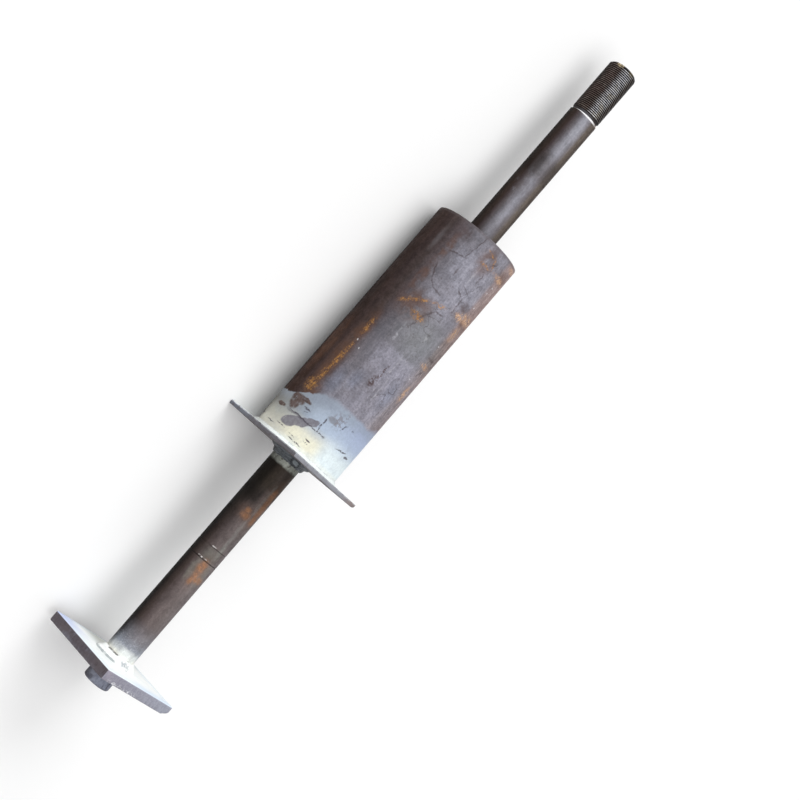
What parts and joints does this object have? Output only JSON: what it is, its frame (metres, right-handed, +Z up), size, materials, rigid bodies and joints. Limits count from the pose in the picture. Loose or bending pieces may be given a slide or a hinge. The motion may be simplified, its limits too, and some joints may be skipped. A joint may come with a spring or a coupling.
{
  "type": "anchor bolt",
  "caption": "Steel rod with a thread at one end, a welded square anchor plate at the other and a sleeve tube on a thin square plate round its middle.",
  "frame": {"origin": "the middle of the underside of the overall box, on the floor that the bolt lies on", "axes": "+X from the anchor plate to the threaded end, dipping slightly as the bolt rests on its sleeve plate and the sleeve's mouth; +Z up"},
  "size_m": [0.8794, 0.125, 0.1278],
  "materials": {
    "rod_steel": "dark brown-grey mill scale with rust",
    "plate_steel": "pale scale-free face, dark sheared edges",
    "sleeve_plate_steel": "bright face, dark sheared edges",
    "tube_steel": "grey-lilac and brown mill scale, rust streaks, bright foot",
    "weld_metal": "as welded"
  },
  "bodies": {
    "root": {"anchor_rod": "rod_steel", "anchor_plate": "plate_steel", "anchor_plate_weld": "weld_metal", "sleeve_plate": "sleeve_plate_steel", "sleeve_plate_weld": "weld_metal", "sleeve_tube": "tube_steel", "sleeve_tube_weld": "weld_metal"}
  },
  "joints": []
}
